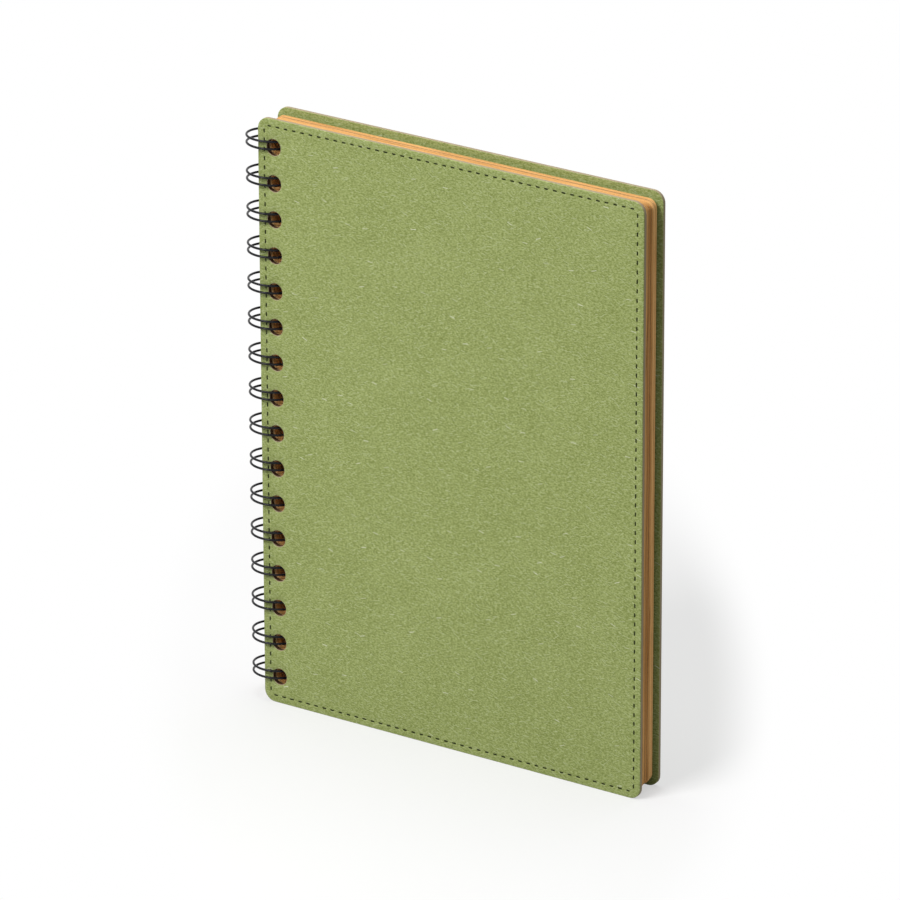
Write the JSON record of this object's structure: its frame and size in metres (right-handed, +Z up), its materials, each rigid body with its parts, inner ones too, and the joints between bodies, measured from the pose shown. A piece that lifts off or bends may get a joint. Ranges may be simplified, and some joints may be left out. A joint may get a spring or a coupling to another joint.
{
  "type": "spiral notebook",
  "caption": "Portrait notebook: two stitched board covers and a block of kraft sheets hung on a black twin-loop wire along the left edge.",
  "frame": {"origin": "bottom centre of the space the notebook fills, on the surface it stands on", "axes": "+X from the spine to the fore edge, +Y from the front cover to the back cover, +Z up along the spine to the head of the book"},
  "size_m": [0.1557, 0.0166, 0.21],
  "materials": {
    "cover_board": "matt green fibre board, lighter fibres showing, grey-brown cut edge",
    "kraft_paper": "matt uncoated kraft paper, cut edges showing",
    "black_wire": "glossy black coated steel wire"
  },
  "bodies": {
    "book": {"page_block": "kraft_paper", "binding_wire": "black_wire"},
    "front_cover": {"front_cover": "cover_board"},
    "back_cover": {"back_cover": "cover_board"}
  },
  "joints": [
    {"name": "front_cover_turn", "type": "hinge", "parent": "book", "child": "front_cover", "pos_m": [-0.06964, -0.0008, 0.105], "axis": [0, 0, -1], "range_deg": [0, 180]},
    {"name": "back_cover_turn", "type": "hinge", "parent": "book", "child": "back_cover", "pos_m": [-0.06964, 0.0008, 0.105], "axis": [0, 0, 1], "range_deg": [0, 180]}
  ]
}
